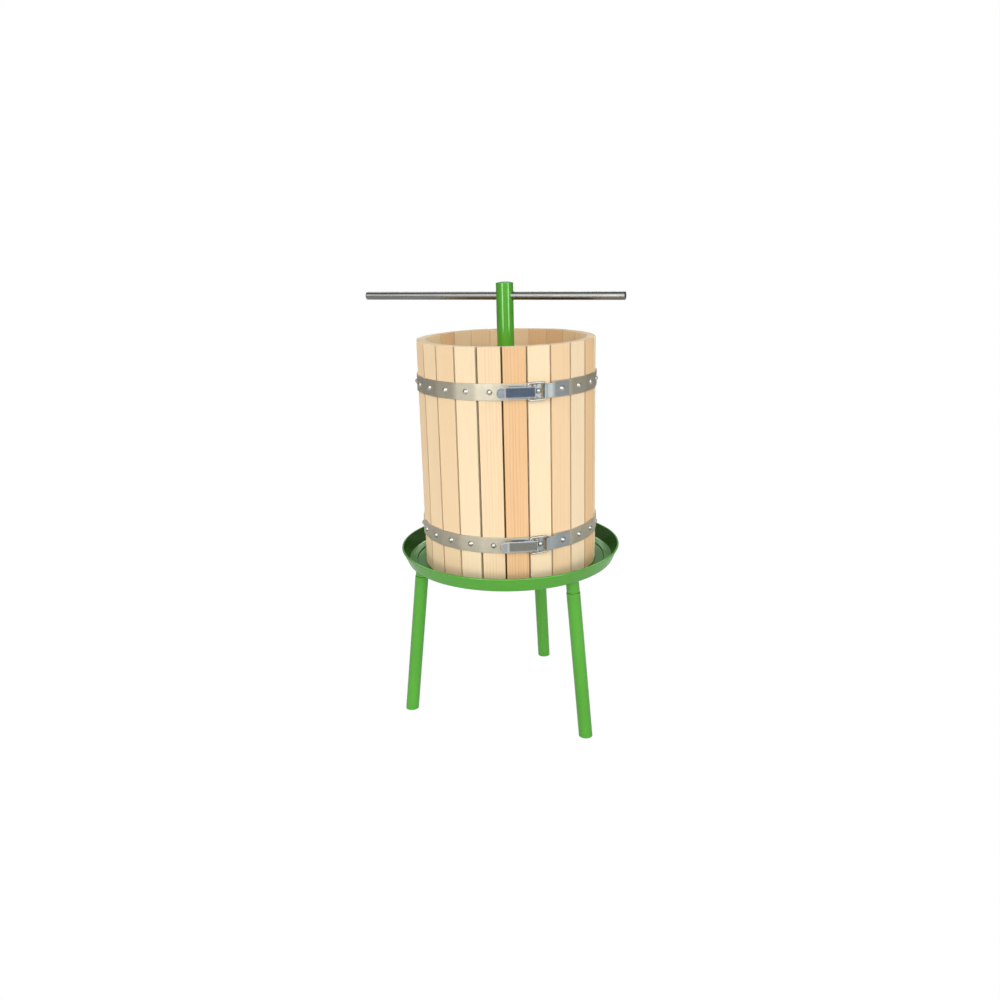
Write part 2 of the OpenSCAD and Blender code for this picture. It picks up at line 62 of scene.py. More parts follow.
# %% Values that add Math nodes
class Value:
    """A socket that takes part in Python sums."""

    def __init__(self, tree, socket):
        self.tree, self.socket = tree, socket

    def math(self, operation, first, second=None):
        node = self.tree.nodes.new("ShaderNodeMath")
        node.operation = operation
        for entry, given in zip(node.inputs, (first, second)):
            if isinstance(given, Value):
                self.tree.links.new(given.socket, entry)
            elif given is not None:
                entry.default_value = given
        return Value(self.tree, node.outputs[0])

    def __add__(self, other):
        return self.math("ADD", self, other)

    def __sub__(self, other):
        return self.math("SUBTRACT", self, other)

    def __rsub__(self, other):
        return self.math("SUBTRACT", other, self)

    def __mul__(self, other):
        return self.math("MULTIPLY", self, other)

    def __truediv__(self, other):
        return self.math("DIVIDE", self, other)

    __radd__, __rmul__ = __add__, __mul__

    def fraction(self):
        return self.math("FRACT", self)

    def size(self):
        return self.math("ABSOLUTE", self)

    def at_most(self, limit):
        return self.math("MINIMUM", self, limit)


# %% A finish is a material with one way to add a node
class Finish:
    """A shader tree on a material or a world."""

    def __init__(self, owner):
        owner.use_nodes = True
        self.owner, self.tree = owner, owner.node_tree
        self.tree.nodes.clear()

    def node(self, kind, settings, inputs):
        """Adds a node: its settings first, then the values or links of its sockets."""
        node = self.tree.nodes.new(kind)
        for name, setting in settings.items():
            setattr(node, name, setting)
        for name, given in inputs.items():
            entry = node.inputs[name]
            if isinstance(given, (Value, bpy.types.NodeSocket)):
                self.tree.links.new(getattr(given, "socket", given), entry)
            elif hasattr(given, "__len__") and len(given) == 3 and entry.type == "RGBA":
                entry.default_value = (*given, 1)
            else:
                entry.default_value = given
        return node

    def value(self, socket):
        return Value(self.tree, socket)

    def place(self):
        """Object coordinates: the piece's own place in metres, because each object sits at the origin."""
        return self.node("ShaderNodeTexCoord", {}, {}).outputs["Object"]

    def normal(self):
        """The direction that the surface faces."""
        return self.node("ShaderNodeNewGeometry", {}, {}).outputs["Normal"]

    def attribute(self, name, kind):
        """What a piece's points carry under a name: a Vector, or a number as Fac."""
        return self.node("ShaderNodeAttribute", {"attribute_name": name}, {}).outputs[kind]

    def vector(self, operation, *given):
        """The outputs of a sum on whole vectors."""
        return self.node("ShaderNodeVectorMath", {"operation": operation}, dict(enumerate(given))).outputs

    def dot(self, one, two):
        """How far two directions agree, from -1 to 1."""
        return self.value(self.vector("DOT_PRODUCT", one, two)["Value"])

    def length(self, vector):
        return self.value(self.vector("LENGTH", vector)["Value"])

    def stretched(self, place, scale, turn=0.0):
        """Coordinates turned about Z and then scaled on each axis."""
        turned = self.node("ShaderNodeMapping", {}, {"Vector": place, "Rotation": (0, 0, turn)})
        return self.vector("MULTIPLY", turned.outputs[0], scale)[0]

    def noise(self, place, scale, detail=2.0, turn=0.0):
        """Cloudy noise from 0 to 1, about scale lumps per metre on each axis."""
        made = self.node("ShaderNodeTexNoise", {},
                         {"Vector": self.stretched(place, scale, turn), "Scale": 1.0, "Detail": detail})
        return self.value(made.outputs["Fac"])

    def between(self, value, low, high):
        """A soft step: 0 below low and 1 above high."""
        made = self.node("ShaderNodeMapRange", {"interpolation_type": "SMOOTHSTEP"},
                         {"Value": value, "From Min": low, "From Max": high})
        return self.value(made.outputs["Result"])

    def mixed(self, share, one, two):
        """One colour turning into another."""
        return self.node("ShaderNodeMix", {"data_type": "RGBA"}, {0: share, 6: one, 7: two}).outputs[2]

    def bump(self, height, depth):
        """A normal from a height that runs from 0 to 1 and stands for depth metres."""
        return self.node("ShaderNodeBump", {}, {"Height": height, "Distance": depth}).outputs[0]

    def surface(self, inputs):
        """The shader itself, joined to the material's output."""
        shader = self.node("ShaderNodeBsdfPrincipled", {}, inputs)
        self.node("ShaderNodeOutputMaterial", {}, {"Surface": shader.outputs[0]})
        return self.owner


def new_finish(name):
    return Finish(bpy.data.materials.new(name))


print("shader helpers ready")

# %% [markdown]
# ## Green powder coat
# The tray, the legs and the column are sprayed with powder and baked. That leaves an even, hard gloss
# with a faint orange peel. A flat colour would look like plastic, so the peel goes into the bump, and
# slow clouds shift the gloss and the green a little, as the thickness of the coat does. A dense gloss
# mirrors the dark room at the edges of a tube, which darkens them. Walls that face the axis get a
# darker green, and the floor of the tray half as much: painted shade for the shadow inside the tray.

# %% Green powder coat
UPRIGHT = (0, 0, 1)
FLOOR_EDGE_R, WALL_R = 165 * MM, 172 * MM


def powder_coat(name, green, deep, shade_colour):
    coat = new_finish(name)
    place = coat.place()
    cloud = coat.noise(place, (9, 9, 9), 3)
    peel = coat.noise(place, (420, 420, 420), 1.5)
    speck = coat.between(coat.noise(place, (900, 900, 900), 0), 0.72, 0.8)
    colour = coat.mixed(coat.between(cloud, 0.3, 0.7), green, deep)
    normal = coat.normal()
    from_axis = coat.stretched(place, (1, 1, 0))
    outward = coat.dot(normal, coat.vector("NORMALIZE", from_axis)[0])
    upward = coat.dot(normal, UPRIGHT)
    # painted shade: walls facing the axis, and the tray floor at half strength, turn to the shade colour
    tray_floor_share = coat.between(upward, 0.8, 0.95) * (1 - coat.between(coat.length(from_axis), FLOOR_EDGE_R, WALL_R))
    painted_shade = coat.between(0 - outward, 0.3, 0.8) * 0.85 + tray_floor_share * 0.45
    colour = coat.mixed(painted_shade.at_most(0.85), colour, shade_colour)
    return coat.surface({
        "Base Color": coat.mixed(speck * 0.25, colour, deep),
        "Roughness": 0.11 + cloud * 0.08 + speck * 0.1,
        "IOR": 1.7, "Specular IOR Level": 0.75, "Specular Tint": (0.7, 1.0, 0.62),
        "Normal": coat.bump(peel, 0.014 * MM)})


GREEN, DEEP_GREEN = (0.085, 0.40, 0.026), (0.075, 0.36, 0.022)
green_paint = powder_coat("green_powder_coat", GREEN, DEEP_GREEN, DEEP_GREEN)
# the tray's shade colour is almost black: painted shade inside the tray
tray_paint = powder_coat("green_tray_coat", GREEN, DEEP_GREEN, (0.014, 0.055, 0.005))
print("made", green_paint.name, "and", tray_paint.name)

# %% [markdown]
# ## Pine with real growth rings
# Each stave is sawn from its own board, so its rings lie round a pith somewhere beside the stave.
# A solid pattern gets this right on all faces at once: the distance from the pith, cut into rings,
# draws straight lines on the faces and arcs on the end grain. Each stave carries its pith, its tone and the width
# of its rings as attributes, because a random number per object would be lost in the export.
# The sides stay as the saw left them, rough and stained by juice, and are drawn darker than the faces: partly that
# stain, partly painted shade in the slots between the staves.

# %% Pine
def pine(name, pale, warm, late, along, ends, sawn):
    wood = new_finish(name)
    place = wood.place()
    parts = wood.node("ShaderNodeSeparateXYZ", {}, {0: wood.attribute("board", "Vector")})
    tone, ring_width, figure = (wood.value(parts.outputs[k]) for k in range(3))
    across = tuple(1.0 - share for share in along)
    offset = wood.vector("SUBTRACT", place, wood.attribute("pith", "Vector"))[0]
    radius = wood.length(wood.vector("MULTIPLY", offset, across)[0])
    slow = tuple(2.0 if share else 26.0 for share in along)
    fine = tuple(14.0 if share else 900.0 for share in along)
    drift = wood.noise(place, slow, 2) * (5 * MM) + wood.noise(place, tuple(4.0 * s for s in slow), 1) * (2.4 * MM)
    fibre = wood.noise(place, fine, 2)
    ring = ((radius + drift) / ring_width).fraction()
    faint = wood.between(wood.noise(place, tuple(2.5 * s for s in slow), 2), 0.35, 0.68)
    latewood = (wood.between(ring, 0.3, 0.9) - wood.between(ring, 0.92, 1.0)) * (0.25 + faint * 0.75)
    cloud = wood.noise(place, tuple(0.35 * s for s in slow), 2)
    ground = wood.mixed((tone + (cloud - 0.5) * 0.5).at_most(1.0), pale, warm)
    grained = wood.mixed(latewood * figure + (fibre - 0.5) * 0.22, ground, late)
    normal = wood.normal()
    end_grain = wood.between(wood.dot(normal, along).size(), 0.6, 0.9)
    sideways = wood.vector("NORMALIZE", wood.stretched(place, (1, 1, 0), math.pi / 2))[0]
    # darker sides: partly juice stain, partly painted shade in the slots between staves
    side = wood.between(wood.dot(normal, sideways).size(), 0.55, 0.9)
    colour = wood.mixed(side * wood.value(wood.attribute("stain_and_shade", "Fac")), grained, sawn)
    return wood.surface({
        "Base Color": wood.mixed(end_grain * 0.75, colour, ends),
        "Roughness": 0.5 + fibre * 0.16 + end_grain * 0.15,
        "Specular IOR Level": 0.3, "Diffuse Roughness": 0.9,
        "Normal": wood.bump(fibre * 0.7 + latewood * 0.3, 0.06 * MM)})


CROSSWAYS = (1, 0, 0)
# the last colour is for the sides: partly juice stain, partly painted shade in the slots
stave_wood = pine("pine_stave", (0.90, 0.765, 0.54), (0.83, 0.575, 0.315), (0.60, 0.30, 0.115), UPRIGHT,
                  (0.60, 0.49, 0.34), (0.30, 0.165, 0.05))
board_wood = pine("beech_board", (0.72, 0.52, 0.31), (0.64, 0.42, 0.24), (0.42, 0.23, 0.11), CROSSWAYS,
                  (0.40, 0.26, 0.14), (0.55, 0.36, 0.19))
print("made", stave_wood.name, "and", board_wood.name)

# %% [markdown]
# ## Bright metals
# The hoops are galvanised strap: dull, with broad zinc crystals and lengthwise rolling marks. The
# latch sheet is zinc plated with a blue cast and is smoother, and the rivets and wires are finer still.
# The T-bar is drawn steel, with fine lines along its length. One function makes them all, from how each
# is worked. On the levers an attribute paints a pale highlight on the rounded edges, the tip and the bend.

# %% Metals
def metal(name, colour, shade, rough, crystals, lines, turn=0.0, relief=0.02 * MM, highlight_colour=None):
    steel = new_finish(name)
    place = steel.place()
    cells = steel.node("ShaderNodeTexVoronoi", {}, {"Vector": place, "Scale": crystals}).outputs["Color"]
    spangle = steel.value(steel.node("ShaderNodeRGBToBW", {}, {0: cells}).outputs[0])
    mark = steel.noise(place, lines, 3, turn)
    smear = steel.noise(place, (22, 22, 22), 3)
    tint = steel.mixed((spangle * 0.35 + mark * 0.35 + smear * 0.5) - 0.1, colour, shade)
    # painted highlight: a pale colour where the piece's points carry one
    if highlight_colour:
        tint = steel.mixed(steel.attribute("painted_highlight", "Fac"), tint, highlight_colour)
    return steel.surface({
        "Base Color": tint,
        "Metallic": 1.0,
        "Roughness": rough + (mark - 0.5) * 0.16 + (smear - 0.5) * 0.18 + spangle * 0.05,
        "Normal": steel.bump(mark, relief)})


BAR_TURN = math.radians(-21)
zinc = metal("galvanised_strap", (0.72, 0.665, 0.53), (0.56, 0.515, 0.41), 0.46, 130, (30, 30, 900))
plate_zinc = metal("latch_sheet", (0.52, 0.56, 0.56), (0.37, 0.41, 0.415), 0.32, 220, (40, 40, 500))
# pale colour of the painted highlight on the levers
PALE_HIGHLIGHT = (0.82, 0.84, 0.86)
blue_zinc = metal("blue_zinc_lever", (0.30, 0.37, 0.46), (0.08, 0.13, 0.23), 0.2, 190, (60, 60, 600), highlight_colour=PALE_HIGHLIGHT)
grey_zinc = metal("grey_zinc_lever", (0.39, 0.40, 0.35), (0.28, 0.29, 0.25), 0.24, 160, (60, 60, 600), highlight_colour=PALE_HIGHLIGHT)
rivet_steel = metal("soft_rivet", (0.78, 0.76, 0.70), (0.58, 0.565, 0.52), 0.36, 300, (200, 200, 200))
wire_steel = metal("bright_wire", (0.70, 0.69, 0.66), (0.52, 0.51, 0.48), 0.2, 300, (300, 300, 300))
bar_steel = metal("drawn_bar", (0.33, 0.33, 0.32), (0.26, 0.26, 0.25), 0.25, 60, (4, 500, 500), -BAR_TURN, 0.002 * MM)
print("made", [m.name for m in (zinc, plate_zinc, blue_zinc, grey_zinc, rivet_steel, wire_steel, bar_steel)])

# %% [markdown]
# ## From a bmesh to a piece that rides on the frame
# Every new piece ends the same way, so one function does it: faces turned outwards, smooth shading
# that stops at sharp edges, the finish, the body it moves with and the solids that it stands for. The
# Weighted Normal modifier keeps the flats flat between their softened edges.

# %% One way to finish a piece
def piece(name, bm, finish, body, slot, *stands_for):
    bmesh.ops.remove_doubles(bm, verts=bm.verts, dist=1e-6)
    bmesh.ops.recalc_face_normals(bm, faces=bm.faces)
    mesh = bpy.data.meshes.new(name)
    bm.to_mesh(mesh)
    bm.free()
    mesh.shade_smooth()
    mesh.set_sharp_from_angle(angle=math.radians(35))
    mesh.materials.append(finish)
    obj = bpy.data.objects.new(name, mesh)
    bpy.context.scene.collection.objects.link(obj)
    even = obj.modifiers.new("even_shading", "WEIGHTED_NORMAL")
    even.keep_sharp = True
    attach(obj, body)
    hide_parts(*stands_for)
    return obj


def dress(finish, *names):
    """A finish for solids that are right as they are."""
    for name in names:
        nodes[name].data.materials.clear()
        nodes[name].data.materials.append(finish)


def soften(bm, width, segments=2, edges=None):
    """Rounds the given edges, or all those that are bent by more than 30 degrees."""
    if edges is None:
        edges = [e for e in bm.edges if e.is_manifold and e.calc_face_angle() > math.radians(30)]
    bmesh.ops.bevel(bm, geom=edges, offset=width, offset_type="OFFSET", affect="EDGES",
                    segments=segments, profile=0.5, material=-1, clamp_overlap=True)


def prism(outline, low, high):
    """An upright block over an outline of (x, y) points."""
    bm = bmesh.new()
    face = bm.faces.new([bm.verts.new((x, y, low)) for x, y in outline])
    made = bmesh.ops.extrude_face_region(bm, geom=[face])["geom"]
    bmesh.ops.translate(bm, verts=[v for v in made if isinstance(v, bmesh.types.BMVert)], vec=(0, 0, high - low))
    bmesh.ops.recalc_face_normals(bm, faces=bm.faces)
    return bm


def join(bm, other, matrix=Matrix.Identity(4)):
    """Adds a copy of another bmesh, carried by a matrix."""
    other.transform(matrix)
    spare = bpy.data.meshes.new("spare")
    other.to_mesh(spare)
    other.free()
    bm.from_mesh(spare)
    bpy.data.meshes.remove(spare)


print("piece helpers ready")

# %% [markdown]
# ## Staves
# A stave is a planed slat whose sides lean less than the circle asks for, so that the slot to the
# next one is open outside and almost shut inside. It could be twenty-four copies of one mesh, but then
# the grain would repeat. Each one is a fresh prism instead, turned to its place, with all its edges
# eased as a hand plane leaves them. Staves that show from the front, outside or inside the basket, have
# their tone set one by one from how the real ones look. The rest is left to chance.

# %% Measure the basket
STAVES, FIRST_STAVE = 24, math.radians(4.67)
PITCH = math.tau / STAVES
STAVE_FACE, STAVE_BACK = 140.6 * MM, 126.6 * MM
SLOT, SLOT_BACK = 2.6 * MM, 0.15 * MM
stave_low, stave_high = (corner.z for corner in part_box("stave_01"))


def stave_angle(index):
    return FIRST_STAVE + index * PITCH


def at_stave(index):
    """Carries what is drawn at the front, with -Y outwards, to a stave."""
    return Matrix.Rotation(stave_angle(index), 4, "Z")


def set_grain(obj, pith, tone, ring_width, figure):
    """Gives all points of a piece of wood the values that its finish reads."""
    for name, given in (("pith", pith), ("board", (tone, ring_width, figure))):
        layer = obj.data.attributes.new(name, "FLOAT_VECTOR", "POINT")
        layer.data.foreach_set("vector", list(given) * len(obj.data.vertices))


print("staves", round((stave_high - stave_low) / MM, 1), "mm long")

# %% Saw the staves
EASE, SAW_SLACK = 0.8 * MM, 0.5 * MM
WIDE_SLOT_STAVE, WIDE_SLOT = 22, 1.1 * MM
PITH_NEAR, PITH_FAR = 40 * MM, 160 * MM
chance = random.Random(7)
TONES = {0: 0.95, 1: 0.0, 2: 0.5, 3: 0.1, 4: 0.9, 7: 0.55, 8: 0.7, 9: 1.0, 10: 0.9, 11: 0.4, 12: 0.3, 13: 0.45,
         14: 0.35, 15: 1.0, 16: 0.5, 19: 0.7, 20: 0.5, 21: 0.45, 22: 0.1, 23: 0.3}
# darker stave sides, partly stain and partly painted shade in the slots: most at the front slot
STAINS_AND_SHADE, FAINT_STAIN_AND_SHADE = {0: 0.95, 23: 0.95}, 0.25
FIGURES = {0: 0.34, 1: 0.07, 2: 0.12, 9: 0.32, 10: 0.22, 15: 0.38, 22: 0.06}
for index in range(STAVES):
    outer = STAVE_FACE * math.tan(PITCH / 2) - SLOT / 2 / math.cos(PITCH / 2)
    inner = STAVE_BACK * math.tan(PITCH / 2) - SLOT_BACK / 2 / math.cos(PITCH / 2)
    trim = WIDE_SLOT if index == WIDE_SLOT_STAVE else 0.0
    short = chance.uniform(0, 1) * SAW_SLACK
    bm = prism([(-outer, -STAVE_FACE), (outer - trim, -STAVE_FACE), (inner - trim, -STAVE_BACK),
                (-inner, -STAVE_BACK)], stave_low, stave_high - short)
    soften(bm, EASE)
    bm.transform(at_stave(index))
    slat = piece(f"slat_{index + 1:02d}", bm, stave_wood, "frame", "stave_wood", f"stave_{index + 1:02d}")
    bearing = chance.uniform(0, math.tau)
    away = chance.uniform(PITH_NEAR, PITH_FAR)
    centre = at_stave(index) @ Vector((away * math.cos(bearing), -STAVE_FACE + away * math.sin(bearing), 0))
    tone = TONES.get(index, chance.uniform(0.05, 0.8))
    set_grain(slat, centre, tone, chance.uniform(1.6, 3.4) * MM, FIGURES.get(index, chance.uniform(0.05, 0.2)))
    layer = slat.data.attributes.new("stain_and_shade", "FLOAT", "POINT")
    layer.data.foreach_set("value", [STAINS_AND_SHADE.get(index, FAINT_STAIN_AND_SHADE)] * len(slat.data.vertices))
print("sawed", STAVES, "staves")

# %% [markdown]
# ## Straps
# The hoops, the latch bases and the hooks are all sheet that follows the flats of the staves. A strap
# starts as a line of vertices along the flats. Extruding the line upwards gives a band, Solidify gives
# it its thickness, and a bevel rounds the bends and the cut edges.

# %% Strap helpers
HOOP_T, LATCH_T, SHEET_EASE = 2.0 * MM, 1.5 * MM, 0.3 * MM
STRAP_FACE = STAVE_FACE + HOOP_T
LATCH_FACE = STRAP_FACE + LATCH_T
LEVER_STAVE, BASE_STAVE, HOOK_STAVE = 0, 1, 2
HOOPS = {name: sum(corner.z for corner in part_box(name + "_hoop")) / 2 for name in ("lower", "upper")}
hoop_low, hoop_high = (corner.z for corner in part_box("lower_hoop"))
HOOP_W = hoop_high - hoop_low
BEND_R = 45 * MM


def rounded(points, radii, steps=5):
    """A line of points whose inner corners are replaced by arcs."""
    line = [Vector(points[0])]
    for before, corner, after, radius in zip(points, points[1:], points[2:], radii):
        a, c, b = Vector(before), Vector(corner), Vector(after)
        one, two = (a - c).normalized(), (b - c).normalized()
        half = one.angle(two) / 2
        reach, centre = radius / math.tan(half), c + (one + two).normalized() * radius / math.sin(half)
        start, end = c + one * reach - centre, c + two * reach - centre
        for k in range(steps + 1):
            line.append(centre + start.slerp(end, k / steps).normalized() * radius)
    return line + [Vector(points[-1])]


def on_flat(face, angle):
    """The point at an angle from the front, on the flats at a distance from the axis."""
    index = round((angle - FIRST_STAVE) / PITCH)
    radius = face / math.cos(angle - stave_angle(index))
    return (radius * math.sin(angle), -radius * math.cos(angle))


def flat_path(face, start, end):
    """Points along the flats, with an arc at each bend."""
    bends = [stave_angle(i) + PITCH / 2 for i in range(-STAVES, 2 * STAVES)]
    corners = [on_flat(face, a) for a in [start] + [a for a in bends if start < a < end] + [end]]
    return rounded(corners, [BEND_R] * (len(corners) - 2), 3)


def flat_angle(index, along):
    """The angle of a point along a stave's flat, at the face of the strap."""
    return stave_angle(index) + math.atan2(along, STRAP_FACE)


def ribbon(path, widths, thick):
    """A sheet that stands on a path of (x, y) points, with a width at each point, thickened sideways."""
    bm = bmesh.new()
    foot = [bm.verts.new((x, y, -w / 2)) for (x, y), w in zip(path, widths)]
    edges = [bm.edges.new(pair) for pair in zip(foot, foot[1:])]
    made = bmesh.ops.extrude_edge_only(bm, edges=edges)["geom"]
    for vert in (v for v in made if isinstance(v, bmesh.types.BMVert)):
        vert.co.z = -vert.co.z
    bm.normal_update()
    bmesh.ops.solidify(bm, geom=list(bm.faces), thickness=-thick)
    bmesh.ops.recalc_face_normals(bm, faces=bm.faces)
    return bm


print("hoops at", {k: round(z / MM, 1) for k, z in HOOPS.items()}, "mm")

# %% Hoops
SPLIT, HOOP_EASE = math.radians(0.4), 0.45 * MM
BASE_END, BASE_START = 3.0 * MM, 9.0 * MM
for name, height in HOOPS.items():
    path = flat_path(STAVE_FACE, stave_angle(BASE_STAVE) + PITCH / 2 + SPLIT,
                     flat_angle(BASE_STAVE, BASE_END) + math.tau)
    bm = ribbon(path, [HOOP_W] * len(path), -HOOP_T)
    soften(bm, HOOP_EASE)
    bm.transform(Matrix.Translation((0, 0, height)))
    obj = piece(name + "_strap", bm, zinc, "frame", "zinc", name + "_hoop")
    print(obj.name, [round(x / MM, 1) for x in obj.dimensions])

# %% [markdown]
# ## Rivets
# A rivet is a turned shape, so its outline is spun round. Its head is a dome, and inside the basket
# its tail is peened to a low button. The same bmesh is joined in once per stave.

# %% Rivets
HEAD_R, HEAD_H = 4.5 * MM, 3.0 * MM
TAIL_R, TAIL_H, SUNK = 4.0 * MM, 0.6 * MM, 0.4 * MM
BASE_RIVET_BACK = 2.65 * MM


def dome(radius, height, steps=18, rings=5):
    """A low dome that rises along Z, with its foot sunk a little below the XY plane."""
    bm = bmesh.new()
    ball = (radius * radius + height * height) / (2 * height)
    reach = math.asin(min(1.0, radius / ball)) if height < radius else math.pi / 2
    line = [bm.verts.new((ball * math.sin(reach * k / rings), 0,
                          height - ball + ball * math.cos(reach * k / rings))) for k in range(rings + 1)]
    line.append(bm.verts.new((radius, 0, -SUNK)))
    edges = [bm.edges.new(pair) for pair in zip(line, line[1:])]
    bmesh.ops.spin(bm, geom=line + edges, axis=(0, 0, 1), cent=(0, 0, 0), dvec=(0, 0, 0),
                   angle=math.tau, steps=steps, use_merge=True)
    bmesh.ops.remove_doubles(bm, verts=bm.verts, dist=1e-7)
    bmesh.ops.holes_fill(bm, edges=[e for e in bm.edges if e.is_boundary], sides=0)
    return bm


for name, height in HOOPS.items():
    bm = bmesh.new()
    for index in range(STAVES):
        along = -BASE_RIVET_BACK if index == BASE_STAVE else 0.0
        seat = LATCH_FACE if index in (LEVER_STAVE, BASE_STAVE, HOOK_STAVE) else STRAP_FACE
        spot = Matrix.Translation((0, 0, height)) @ at_stave(index)
        outwards = Matrix.Rotation(math.pi / 2, 4, "X")
        inwards = Matrix.Rotation(-math.pi / 2, 4, "X")
        join(bm, dome(HEAD_R, HEAD_H), spot @ Matrix.Translation((along, -seat, 0)) @ outwards)
        join(bm, dome(TAIL_R, TAIL_H), spot @ Matrix.Translation((along, -STAVE_BACK, 0)) @ inwards)
    obj = piece(name + "_rivets", bm, rivet_steel, "frame", "zinc", name + "_hoop_rivets")
    print(obj.name, len(obj.data.polygons), "faces")

# %% [markdown]
# ## Toggle latches
# The lever turns on a pin between two ears of its base, and pulls a wire bail that hooks over a
# J-shaped tongue across the split of the hoop. Base, hook and lever are bent sheet, so they are made
# as ribbons again, with ears and cheeks added as flat blanks.

# %% Latch points on the flat of the base's stave
PIVOT_BACK, PIVOT_RISE, BAIL_ARM = 9.4 * MM, 4.9 * MM, 10.3 * MM
BAIL_LEN, BAIL_DROP, WIRE_D, TURN_CLEAR = 26.9 * MM, 0.68 * MM, 2.8 * MM, 0.3 * MM
LEVER_W, LEVER_LEN, LEVER_TIP, TIP_TILT = 16 * MM, 57 * MM, 13 * MM, math.radians(14)
CHEEK_R, BASE_W = 3.0 * MM, 20 * MM
HOOK_W, HOOK_PLATE_W, HOOK_ROOM, HOOK_LIP, HOOK_REACH = 19.5 * MM, 22 * MM, 7.1 * MM, 6.6 * MM, 13 * MM
pivot = Vector((-PIVOT_BACK, STRAP_FACE + PIVOT_RISE))
bail_bar = pivot + Vector((math.sqrt(BAIL_LEN**2 - BAIL_DROP**2) - BAIL_ARM, -BAIL_DROP))
hook_mid = LATCH_FACE + HOOK_ROOM / 2
hook_seat = HOOK_ROOM / 2 - WIRE_D / 2 - TURN_CLEAR
hook_bend = bail_bar.x + math.sqrt(hook_seat**2 - (bail_bar.y - hook_mid) ** 2)
lever_bail = Vector((-BAIL_ARM * math.cos(PITCH), BAIL_ARM * math.sin(PITCH)))
lever_in = lever_bail.y + WIRE_D / 2 + TURN_CLEAR
print("pivot", [round(x / MM, 2) for x in pivot], "hook bends at", round(hook_bend / MM, 2))


def arc(centre, radius, start, end, steps):
    """Points along an arc, with angles in degrees."""
    turns = [math.radians(start + (end - start) * k / steps) for k in range(steps + 1)]
    return [(centre[0] + radius * math.cos(a), centre[1] + radius * math.sin(a)) for a in turns]


# %% Latch bases with their ears
EAR_R = CHEEK_R + 1 * MM
ear_in = LEVER_W / 2 + TURN_CLEAR
for name, height in HOOPS.items():
    path = flat_path(STRAP_FACE, flat_angle(LEVER_STAVE, -BASE_START), flat_angle(BASE_STAVE, BASE_END))
    bm = ribbon(path, [BASE_W] * len(path), -LATCH_T)
    soften(bm, SHEET_EASE)
    outline = arc((pivot.x, -pivot.y), EAR_R, 180, 360, 12)
    outline += [(pivot.x + EAR_R, -STRAP_FACE - LATCH_T / 2), (pivot.x - EAR_R, -STRAP_FACE - LATCH_T / 2)]
    for side in (-1, 1):
        middle = side * (ear_in + LATCH_T / 2)
        ear = prism(outline, middle - LATCH_T / 2, middle + LATCH_T / 2)
        soften(ear, SHEET_EASE)
        join(bm, ear, at_stave(BASE_STAVE))
    bm.transform(Matrix.Translation((0, 0, height)))
    piece(name + "_base_plate", bm, plate_zinc, "frame", "zinc", name + "_latch_base")
print("bent two bases")

# %% Hooks
TONGUE_SHIFT = math.radians(2.4)
for name, height in HOOPS.items():
    turn = at_stave(BASE_STAVE)
    outer_r = HOOK_ROOM / 2 + LATCH_T
    plate_end = flat_angle(HOOK_STAVE, HOOK_REACH)
    split = stave_angle(BASE_STAVE) + PITCH / 2
    bend = stave_angle(BASE_STAVE) + math.atan2(hook_bend, STRAP_FACE)
    path = flat_path(STRAP_FACE, bend, plate_end)[::-1]
    tongue = split + TONGUE_SHIFT
    at = next(k for k, p in enumerate(path) if math.atan2(p[0], -p[1]) < tongue)
    path[at:at] = [on_flat(STRAP_FACE, tongue + SPLIT), on_flat(STRAP_FACE, tongue)]
    widths = [HOOK_PLATE_W] * (at + 1) + [HOOK_W] * (len(path) - at - 1)
    curl = arc((hook_bend, -hook_mid), outer_r, 90, 270, 14)[1:] + [(hook_bend + HOOK_LIP, -hook_mid - outer_r)]
    path += [(turn @ Vector((x, y, 0))).to_2d() for x, y in curl]
    widths += [HOOK_W] * len(curl)
    bm = ribbon(path, widths, LATCH_T)
    soften(bm, SHEET_EASE)
    bm.transform(Matrix.Translation((0, 0, height)))
    obj = piece(name + "_hook", bm, plate_zinc, "frame", "zinc", name + "_latch_hook")
    print(obj.name, [round(x / MM, 1) for x in obj.dimensions])

